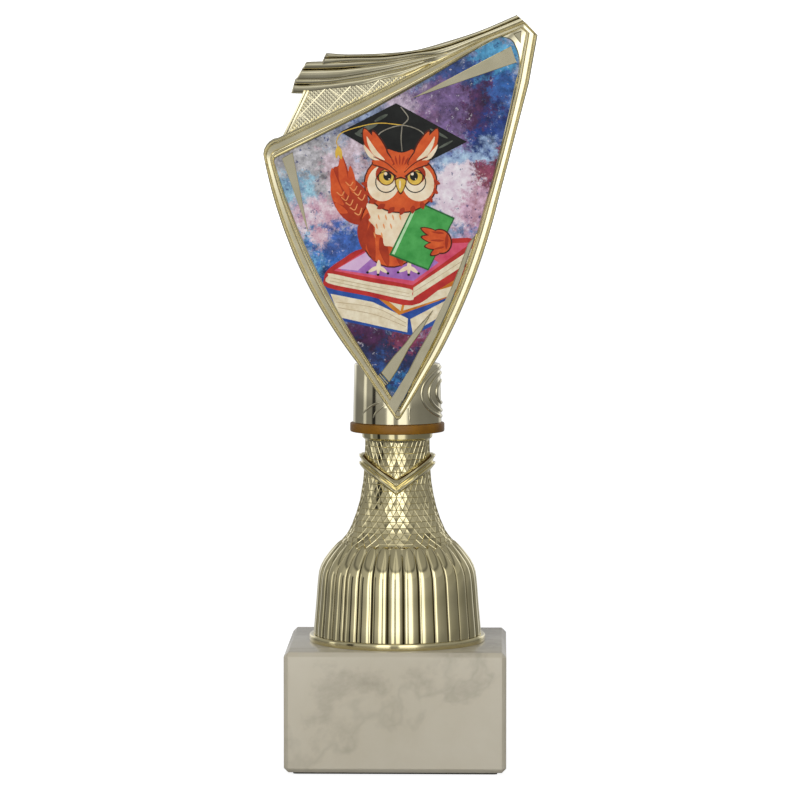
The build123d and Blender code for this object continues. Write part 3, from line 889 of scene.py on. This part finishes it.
def books():
    """Three books in a pile, each with its pages, and the cover that the owl stands on."""
    red = ink("book_red", "#a81f22", "#c8352c")
    cream = ink("page_cream", "#d9c9a6", "#f0e6cc", 500.0)
    navy = ink("book_blue", "#1c3a86", "#2f5cae")
    orange = ink("book_orange", "#b55f14", "#d98a2c")
    printed("low_book", 1, navy,
            [(-22.5, 143.5), (-12.0, 141.5), (3.6, 135.6), (16.0, 139.0), (11.0, 130.6), (4.6, 127.6),
             (-16.6, 132.0), (-19.5, 137.0)])
    printed("low_pages", 2, cream,
            [(-19.4, 139.8), (-7.0, 137.4), (3.4, 132.6), (3.2, 128.5), (-16.7, 132.9)],
            [(4.1, 132.4), (14.4, 137.8), (11.6, 132.4), (4.8, 128.4)])
    printed("middle_book", 3, orange,
            [(-10.5, 142.5), (0.8, 133.6), (17.5, 139.6), (21.0, 148.6), (4.8, 138.5)])
    printed("middle_pages", 4, cream,
            [(-6.3, 140.8), (1.2, 134.8), (2.0, 137.9)],
            [(2.0, 134.9), (15.8, 139.3), (17.5, 142.4), (2.8, 138.0)])
    printed("top_book", 5, red,
            blob([(-21.3, 144.3), (-20.2, 141.6), (-8.0, 139.1), (4.6, 136.4), (13.0, 141.4), (22.6, 148.2),
                  (23.5, 155.8), (8.0, 155.2), (-9.5, 153.2), (-16.0, 149.9), (-20.2, 146.8)], 4))
    printed("top_pages", 6, cream,
            blob([(-20.1, 145.1), (-20.0, 142.9), (-8.0, 140.4), (4.0, 137.9), (4.6, 139.8), (3.7, 141.3),
                  (-8.0, 143.3), (-19.0, 145.7)], 4),
            [(5.0, 141.6), (4.8, 138.5), (22.3, 149.8), (22.9, 153.6)])
    printed("top_cover", 7, ink("cover_rose", "#c8385a", "#e0607a"),
            [(-18.4, 146.6), (-9.4, 152.3), (8.0, 154.3), (22.2, 154.9), (4.7, 142.3)])
    printed("cover_violet", 8, ink("cover_violet", "#8f55a8", "#b684c6"),
            [(-16.6, 146.8), (-8.8, 151.6), (6.0, 153.2), (12.4, 149.0), (5.0, 143.6)])
    printed("cover_lilac", 9, ink("cover_lilac", "#cfa6cf", "#e0c2dd"),
            [(-17.2, 147.2), (-9.0, 152.0), (-5.0, 152.2), (-11.4, 146.6)])
    printed("page_lines", 9, ink("page_shade", "#b39a70", "#cdb78f"),
            stroke([(-19.4, 144.5), (-8.0, 142.2), (3.8, 139.9)], 0.16),
            stroke([(-19.6, 143.6), (-8.0, 141.2), (4.0, 138.9)], 0.16),
            stroke([(5.0, 140.3), (14.0, 146.0), (22.6, 151.6)], 0.16),
            stroke([(-17.8, 137.4), (-6.0, 135.6), (2.9, 131.2)], 0.16),
            stroke([(-17.2, 135.8), (-6.0, 133.6), (2.8, 130.2)], 0.16))


HEAD_X = 1.2


def owl():
    """An owl of my own drawing in a mortarboard, one wing raised and the other round a book."""
    rust = ink("feather_rust", "#9c2c10", "#b83d18")
    orange = ink("feather_orange", "#c4431a", "#e2662c")
    amber = ink("feather_amber", "#e08a4c", "#f0a868")
    cream = ink("down_cream", "#e6cba4", "#f7ead0")
    black = ink("ink_black", "#0b0c0b", "#1c1e1b")
    dark = ink("ink_brown", "#3c1509", "#571f0e")
    gold = ink("tassel_gold", "#c99a2a", "#ecc95c")
    slate = ink("cap_sheen", "#3c4238", "#6a7064")

    printed("cap_board", 10, black, [(-16.6, 187.3), (-0.2, 195.7), (20.7, 184.4), (3.4, 175.6)])
    printed("cap_board_sheen", 11, slate,
            oval(-8.6, 188.4, 3.4, 0.7, 24), oval(-4.6, 191.4, 2.2, 0.5, 28),
            oval(12.4, 186.8, 3.0, 0.4, -28), oval(14.4, 183.6, 2.4, 0.35, 28),
            oval(-10.8, 186.4, 1.6, 0.5, -20))
    printed("tassel", 12, gold,
            stroke([(2.2, 189.2), (-6.0, 189.8), (-15.4, 187.4), (-17.6, 184.8), (-17.2, 182.6)], 0.28),
            feather((-17.1, 183.0), (-16.2, 179.2), 1.3), feather((-17.3, 183.0), (-17.8, 179.4), 1.1))

    printed("wing_left", 11, rust,
            blob([(-8.6, 169.0), (-11.6, 172.8), (-13.6, 174.0), (-14.8, 177.6), (-16.2, 180.4),
                  (-17.2, 177.4), (-18.6, 176.6), (-19.4, 172.0), (-18.6, 166.6), (-15.8, 162.2),
                  (-12.2, 160.2), (-9.0, 161.0)], 4))
    printed("wing_fingers", 12, orange,
            feather((-14.2, 169.0), (-16.3, 180.6), 2.6, 0.05),
            feather((-15.6, 168.0), (-19.0, 176.8), 2.4, 0.1),
            feather((-12.8, 169.6), (-13.7, 177.4), 2.2),
            feather((-15.8, 166.0), (-19.2, 171.4), 2.2, 0.1),
            feather((-14.6, 163.6), (-18.0, 166.4), 2.0, 0.1))
    printed("wing_edges", 13, amber,
            *[stroke([(-17.6 + 1.3 * k, 169.6 - 1.5 * k), (-16.2 + 1.3 * k, 168.6 - 1.4 * k),
                      (-15.4 + 1.3 * k, 169.8 - 1.2 * k)], 0.3) for k in range(5)],
            *[stroke([(-15.0 + 1.2 * k, 172.6 - 1.5 * k), (-13.7 + 1.2 * k, 171.5 - 1.4 * k),
                      (-12.8 + 1.2 * k, 172.6 - 1.2 * k)], 0.3) for k in range(4)])

    printed("body_outline", 11, dark, oval(-1.7, 158.4, 9.3, 11.0, 6))
    printed("body", 12, orange, oval(-1.7, 158.4, 8.9, 10.6, 6))
    printed("body_shade", 13, rust, feather((-8.6, 163.0), (-9.4, 152.2), 3.0, -0.1),
            feather((-7.4, 160.0), (-6.4, 149.2), 2.8, -0.06), feather((-4.6, 156.0), (-2.4, 147.8), 2.6),
            feather((0.2, 154.0), (1.6, 147.8), 2.4), feather((4.4, 156.0), (5.0, 149.4), 2.2))
    printed("breast", 14, cream,
            blob([(-8.6, 166.4), (-7.6, 162.4), (-8.2, 161.4), (-6.4, 159.4), (-6.2, 157.4), (-4.2, 156.8),
                  (-3.6, 154.0), (-1.2, 153.6), (0.6, 151.4), (4.6, 154.4), (7.0, 160.0), (6.4, 165.0),
                  (0.0, 164.0)], 3))
    printed("breast_down", 15, amber,
            *[feather((-5.4 + 2.1 * i - 0.6 * j, 163.0 - 2.6 * j),
                      (-5.0 + 2.1 * i - 0.6 * j, 161.4 - 2.6 * j), 0.45)
              for j in range(3) for i in range(4 - j)])
    for side, x in ((-1, -5.6), (1, 3.4)):
        printed("foot_%d" % (side + 2), 15, cream,
                feather((x + 0.4, 149.6), (x + 0.2, 145.4), 1.3),
                feather((x + 0.4, 147.8), (x - 2.8, 146.2), 1.2),
                feather((x + 0.4, 147.8), (x + 3.0, 145.9), 1.2))
        printed("claws_%d" % (side + 2), 16, black, oval(x + 0.2, 145.4, 0.42, 0.35),
                oval(x - 2.9, 146.1, 0.42, 0.35), oval(x + 3.1, 145.8, 0.42, 0.35))

    green_book = [(5.8, 166.6), (16.6, 161.8), (9.3, 147.2), (-1.6, 151.5)]
    middle = sum((Vector(q) for q in green_book), Vector((0, 0))) / 4
    printed("green_book_edge", 17, ink("book_dark_green", "#1c5a2a", "#2b7038"),
            [middle + (Vector(q) - middle) * 1.06 for q in green_book])
    printed("green_book", 18, ink("book_green", "#35923f", "#55b05a"), green_book)
    printed("green_book_pages", 19, ink("book_mint", "#a9d6a0", "#cfeac6"),
            [(5.6, 166.2), (6.3, 165.9), (-0.6, 151.3), (-1.3, 151.6)])
    printed("wing_right_outline", 19, dark, oval(13.0, 155.2, 3.3, 3.8, 20),
            feather((12.6, 156.6), (6.9, 159.2), 2.6), feather((12.4, 155.4), (7.0, 156.6), 2.5),
            feather((12.6, 154.0), (8.0, 153.7), 2.4), feather((13.0, 153.0), (9.8, 151.0), 2.2))
    printed("wing_right", 20, orange, oval(13.0, 155.2, 2.9, 3.4, 20),
            feather((12.6, 156.6), (7.4, 159.0), 2.0), feather((12.4, 155.4), (7.5, 156.5), 2.0),
            feather((12.6, 154.0), (8.5, 153.8), 1.9), feather((13.0, 153.0), (10.2, 151.3), 1.7))
    printed("wing_right_shade", 21, rust, feather((13.8, 157.6), (10.2, 158.0), 0.7),
            feather((13.8, 155.4), (10.0, 155.5), 0.7), feather((14.0, 153.6), (11.0, 152.9), 0.7),
            feather((14.9, 157.4), (14.6, 152.8), 1.0))

    printed("head_outline", 20, dark, oval(1.2, 172.4, 10.9, 9.0), oval(0.9, 177.4, 8.4, 5.6))
    printed("head", 21, orange, oval(1.2, 172.4, 10.5, 8.6), oval(0.9, 177.4, 8.0, 5.3))
    printed("cheek_feathers", 22, rust,
            *[feather((1.2 + 9.2 * math.cos(t), 172.2 + 7.2 * math.sin(t)),
                      (1.2 + 11.6 * math.cos(t - 0.12), 172.2 + 9.3 * math.sin(t - 0.12)), 1.5)
              for t in (math.radians(a) for a in (-30, -12, 6, 186, 204, 222, 240, 258, 276, 294, 312))])
    printed("cap_crown", 23, black,
            blob([(-6.6, 183.4), (-5.2, 187.0), (1.4, 189.0), (7.6, 187.2), (9.2, 183.8), (5.4, 182.6),
                  (1.5, 181.2), (-2.8, 182.4)], 4))
    printed("cap_seams", 24, ink("cap_seam", "#6c675a", "#a59f8e"),
            stroke([(1.6, 189.2), (1.3, 185.4), (1.6, 181.6)], 0.3),
            stroke([(-6.2, 183.8), (-4.6, 187.2), (1.6, 189.2), (7.2, 187.4), (8.9, 184.2)], 0.3),
            stroke([(1.6, 189.2), (3.4, 191.4), (1.2, 194.6)], 0.3))
    for side, name in ((-1, "left"), (1, "right")):
        def at(out, z):
            """A point this far out from the middle of the head."""
            return HEAD_X + side * out, z

        printed("tuft_outline_" + name, 25, dark,
                feather(at(2.6, 178.0), at(11.0, 188.6), 5.2, -0.1 * side),
                feather(at(4.0, 178.4), at(8.4, 188.0), 3.4))
        printed("tuft_" + name, 26, orange,
                feather(at(2.8, 178.0), at(10.8, 188.2), 4.5, -0.1 * side),
                feather(at(4.2, 178.4), at(8.3, 187.4), 2.8))
        printed("tuft_down_" + name, 27, cream,
                feather(at(5.0, 179.2), at(10.0, 186.0), 1.5, -0.1 * side),
                feather(at(6.4, 178.8), at(10.9, 183.6), 1.3, -0.1 * side))
        printed("face_" + name, 23, cream, oval(*at(5.1, 172.3), 4.7, 5.4, 14 * side))
        printed("eye_patch_" + name, 24, rust, oval(*at(4.2, 175.0), 3.2, 3.0, -24 * side))
        printed("eye_ring_" + name, 25, dark, oval(*at(4.2, 174.0), 2.45, 2.45))
        printed("iris_" + name, 26, gold, oval(*at(4.2, 174.0), 2.15, 2.15))
        printed("pupil_" + name, 27, black, oval(*at(3.9, 174.3), 1.2, 1.3))
        eye = HEAD_X + side * 3.9
        printed("glint_" + name, 28, cream, oval(eye - 0.5, 175.0, 0.45, 0.5),
                oval(eye + 0.5, 173.5, 0.2, 0.2))
        printed("brow_" + name, 28, orange, feather(at(0.5, 173.8), at(8.6, 178.8), 2.4, 0.1 * side))
        printed("brow_line_" + name, 29, dark,
                stroke([at(1.2, 174.2), at(4.2, 176.3), at(8.2, 177.7)], 0.35),
                stroke([at(1.0, 175.4), at(4.2, 178.2), at(8.0, 180.0)], 0.25))
        printed("lens_" + name, 30, black, *hoop(*at(4.3, 172.6), 3.2, 0.3))
    printed("forehead_strokes", 27, rust,
            *[feather((0.9 + 1.3 * i, 180.6 - abs(i) * 0.4), (0.9 + 0.7 * i, 177.6), 0.55)
              for i in (-2, -1, 0, 1, 2)])
    printed("lens_bridge", 30, black, stroke([(-0.3, 173.3), (1.2, 174.0), (2.7, 173.3)], 0.3))
    printed("beak_outline", 31, dark, blob([(-0.6, 173.0), (1.2, 174.0), (3.0, 173.0), (1.2, 168.9)], 4))
    printed("beak", 32, gold, blob([(-0.3, 172.8), (1.2, 173.6), (2.7, 172.8), (1.2, 169.4)], 4))
    printed("beak_light", 33, cream, feather((1.0, 173.0), (1.0, 170.6), 0.6))


# ---------------------------------------------------------------- figure: socket

def socket_radius(z):
    """The socket's radius at a height."""
    share = (z - SOCKET_LOW) / SOCKET_H
    return SOCKET_R_LOW + (SOCKET_R_TOP - SOCKET_R_LOW) * share


def socket(material):
    """The slightly tapered socket, flattened front and back where the frame covers it."""
    bm = bmesh.new()
    top = SOCKET_LOW + SOCKET_H
    flat_r = socket_radius(FLAT_FROM)
    lathe(bm, [(0, SOCKET_LOW), (SOCKET_R_LOW - 0.2, SOCKET_LOW), (SOCKET_R_LOW, SOCKET_LOW + 0.25),
               (flat_r, FLAT_FROM), (flat_r, FLAT_FROM + 0.02),
               (SOCKET_R_TOP, top - 0.5), (SOCKET_R_TOP - 0.15, top - 0.15),
               (SOCKET_R_TOP - 0.6, top), (0, top)], 128)
    for vert in bm.verts:
        if vert.co.z > FLAT_FROM + 0.01:
            limit = -parting(vert.co.z) - 1.2
            vert.co.y = max(-limit, min(limit, vert.co.y))
    make_piece("socket_cone", bm, material)


def scroll(bm, path, width, rise):
    """A raised, rounded line on the socket; the path is in degrees round it and height."""
    curve = spaced(smooth_line(path, 6), 5 * len(path))
    rows = []
    for i, (turn, z) in enumerate(curve):
        before, after = curve[max(0, i - 1)], curve[min(len(curve) - 1, i + 1)]
        r = socket_radius(z)
        along = Vector(((after[0] - before[0]) * math.radians(r), after[1] - before[1])).normalized()
        end = min(1.0, 0.15 + 4 * i / len(curve), 0.15 + 4 * (len(curve) - 1 - i) / len(curve))
        row = []
        for k in range(7):
            a = math.pi * k / 6
            off = -width / 2 * math.cos(a) * end
            lift = rise * math.sin(a) * end - 0.15
            row.append(polar(r + lift, turn - off * along.y / math.radians(r), z + off * along.x))
        rows.append(row + row[:1])
    skin(bm, rows)


def socket_scrolls(material):
    """The socket's relief: a rosette at its right, and two leaf lines and a stem at front and back."""
    bm = bmesh.new()
    for wide, high, rise in ((55, 7.3, 0.5), (42, 5.6, 0.6), (25, 3.3, 0.6)):
        ring = [math.tau * i / 20 for i in range(21)]
        scroll(bm, [(90 + wide * math.cos(t), 110.3 + high * math.sin(t)) for t in ring], 1.2, rise)
    leaf = [(-54.3, 102.3), (-49.3, 104.3), (-40.5, 105.9), (-30.9, 107.1), (-23.9, 107.8), (-17.2, 108.7)]
    rib = [(-33.7, 102.3), (-29.0, 104.3), (-24.0, 105.5), (-17.3, 106.8), (-12.4, 107.3)]
    stem = [(19.0, 107.2), (17.0, 105.0), (17.6, 103.0), (18.4, 101.3)]
    for path in (leaf, rib, stem):
        scroll(bm, path, 0.75, 0.3)
        scroll(bm, [(180 - turn, z) for turn, z in path], 0.75, 0.3)
    make_piece("socket_scrolls", bm, material, sharp=60)


# ---------------------------------------------------------------- studio

def studio_air():
    """The room round the table: tall soft lights and dark cards by compass bearing, then by height."""
    world = bpy.data.worlds.new("studio_air")
    world.use_nodes = True
    tree = world.node_tree
    tree.nodes.clear()
    way = add_node(tree, "TexCoord").outputs["Generated"]
    bearing = add_node(tree, "TexGradient", {"Vector": way}, gradient_type="RADIAL")
    round_room = [(-90, 1.1), (-86, 0.36), (-70, 0.38), (-66, 0.04), (-59, 0.04), (-56, 0.46),
                  (-32, 0.54), (-27, 0.85), (-24, SOFTBOX), (-10, SOFTBOX), (-7, GAP), (2, GAP),
                  (5, SOFTBOX), (24, SOFTBOX), (30, 0.8), (38, 0.44), (60, 0.34), (98, 0.30),
                  (135, 0.30), (150, 1.2), (180, 0.5), (205, 1.2), (225, 0.3), (260, 0.34),
                  (264, 1.1), (270, 1.1)]
    lights = add_node(tree, "ValToRGB", {"Fac": bearing.outputs["Color"]},
                      stops=[(0.25 + turn / 360, grey(glow)) for turn, glow in round_room])
    upper_room = [(-90, 0.42), (-32, 0.54), (-27, 0.85), (-24, SOFTBOX), (-10, SOFTBOX), (-7, OVER_GAP),
                  (2, OVER_GAP), (5, SOFTBOX), (24, SOFTBOX), (30, 0.85), (38, 0.52), (60, 0.42),
                  (270, 0.36)]
    strip = add_node(tree, "ValToRGB", {"Fac": bearing.outputs["Color"]},
                     stops=[(0.25 + turn / 360, grey(glow)) for turn, glow in upper_room])
    height = add_node(tree, "SeparateXYZ", {"Vector": way}).outputs["Z"]
    level = add_node(tree, "MapRange", {"Value": height, "From Min": -1.0, "From Max": 1.0})
    high = add_node(tree, "ValToRGB", {"Fac": level.outputs["Result"]},
                    stops=[(0.79, grey(0.0)), (0.83, grey(0.8))])
    low = add_node(tree, "ValToRGB", {"Fac": level.outputs["Result"]},
                   stops=[(0.22, grey(1.0)), (0.36, grey(0.0))])
    above_gap = add_node(tree, "ValToRGB", {"Fac": level.outputs["Result"]},
                         stops=[(0.66, grey(0.0)), (0.68, grey(1.0))])
    walls = add_node(tree, "Mix", {"Factor": above_gap.outputs["Color"], "A": lights.outputs["Color"],
                                   "B": strip.outputs["Color"]}, data_type="RGBA")
    ceiling = add_node(tree, "ValToRGB", {"Fac": level.outputs["Result"]},
                       stops=[(0.84, grey(0.08)), (0.88, grey(CEILING))])
    upper = add_node(tree, "Mix", {"Factor": high.outputs["Color"], "A": walls.outputs["Result"],
                                   "B": ceiling.outputs["Color"]}, data_type="RGBA")
    dim = add_node(tree, "ValToRGB", {"Fac": level.outputs["Result"]},
                   stops=[(0.40, grey(0.55)), (0.485, grey(0.68)), (0.52, grey(1.0))])
    dimmed = add_node(tree, "Mix", {"Factor": 1.0, "A": upper.outputs["Result"],
                                    "B": dim.outputs["Color"]}, data_type="RGBA", blend_type="MULTIPLY")
    whole = add_node(tree, "Mix", {"Factor": low.outputs["Color"], "A": dimmed.outputs["Result"],
                                   "B": grey(TABLE)}, data_type="RGBA")
    glow = add_node(tree, "Background", {"Color": whole.outputs["Result"]})
    add_node(tree, "OutputWorld", {"Surface": glow.outputs["Background"]})
    return world


def studio():
    """A white floor and surround that only the camera sees, the room's light, a lamp, the camera."""
    def plain(name, colour, glow):
        """A matt white that glows a little of its own, so that it stays even."""
        material, tree, shader = new_material(name)[:3]
        set_inputs(tree, shader, {"Base Color": colour, "Roughness": 0.9,
                                  "Emission Color": (1, 1, 1, 1), "Emission Strength": glow})
        return material

    def stage_piece(name, bm, material):
        """Turns a drawing into a part of the stage."""
        mesh = bpy.data.meshes.new(name)
        bm.to_mesh(mesh)
        bm.free()
        mesh.materials.append(material)
        piece = bpy.data.objects.new(name, mesh)
        scene.collection.objects.link(piece)
        return piece

    bm = bmesh.new()
    bmesh.ops.create_circle(bm, cap_ends=True, segments=96, radius=STAGE_R)
    floor = stage_piece("floor", bm, plain("white_floor", grey(0.3), 0.9))
    floor.location.z = -FLOOR_GAP
    floor.visible_glossy = False
    floor.visible_diffuse = False
    bm = bmesh.new()
    bmesh.ops.create_cone(bm, segments=96, radius1=STAGE_R, radius2=STAGE_R, depth=2 * STAGE_R)
    drum = stage_piece("surround", bm, plain("white_surround", grey(0.8), 1.0))
    drum.visible_glossy = False
    drum.visible_diffuse = False
    drum.visible_shadow = False

    scene.world = studio_air()

    key = bpy.data.lights.new("front_key", "AREA")
    key.shape = "DISK"
    key.size = 1.2
    key.energy = KEY_WATTS
    lamp = bpy.data.objects.new("front_key", key)
    lamp.visible_glossy = False
    camera = bpy.data.cameras.new("camera")
    camera.lens = LENS
    camera.sensor_width = 36.0
    eye = bpy.data.objects.new("camera", camera)
    for thing, place, aim in ((lamp, KEY_AT, KEY_AIM), (eye, CAMERA_AT, CAMERA_AIM)):
        thing.location = place
        thing.rotation_euler = (Vector(aim) - Vector(place)).to_track_quat("-Z", "Y").to_euler()
        scene.collection.objects.link(thing)
    scene.camera = eye
    scene.view_settings.view_transform = "Standard"


# ---------------------------------------------------------------- build

gold = champagne_plating("champagne_metallised_abs", "#dad2b1", "#e3dbbc")
deep_gold = champagne_plating("deep_champagne_metallised_abs", "#dcd1a3", "#e6dbaf")
reed_gold = champagne_plating("reeded_champagne_metallised_abs", "#dcd1a3", "#e6dbaf", REEDS)
marble_block(polished_marble())
felt(black_felt())
reeded_bell(reed_gold)
faceted_neck(deep_gold)
v_ring(deep_gold)
brown_disc(amber_plastic())
socket(gold)
socket_scrolls(gold)
for half in ("front", "back"):
    frame_band(gold, half)
    draped_ribbon("ribbon_top_", gold, RIBBON_TOP, RIBBON_TOP_FOOT, 0.0, half)
    draped_ribbon("ribbon_middle_", gold, RIBBON_MIDDLE, RIBBON_MIDDLE_FOOT, 0.8, half)
    draped_ribbon("ribbon_low_", gold, RIBBON_LOW, RIBBON_LOW_FOOT, 1.6, half, 0.6)
    knurled_panel(gold, half)
    panel_bars(gold, half)
    blades(gold, half)
field("print_ground", watercolour_ground(), ["picture_plate"], "front")
field("field_back", gold, [], "back")
books()
owl()

steel = zinc_steel()
for node in ("base_nut", "base_washer", "threaded_rod", "insert_nut"):
    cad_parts[node].data.materials.clear()
    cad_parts[node].data.materials.append(steel)

studio()
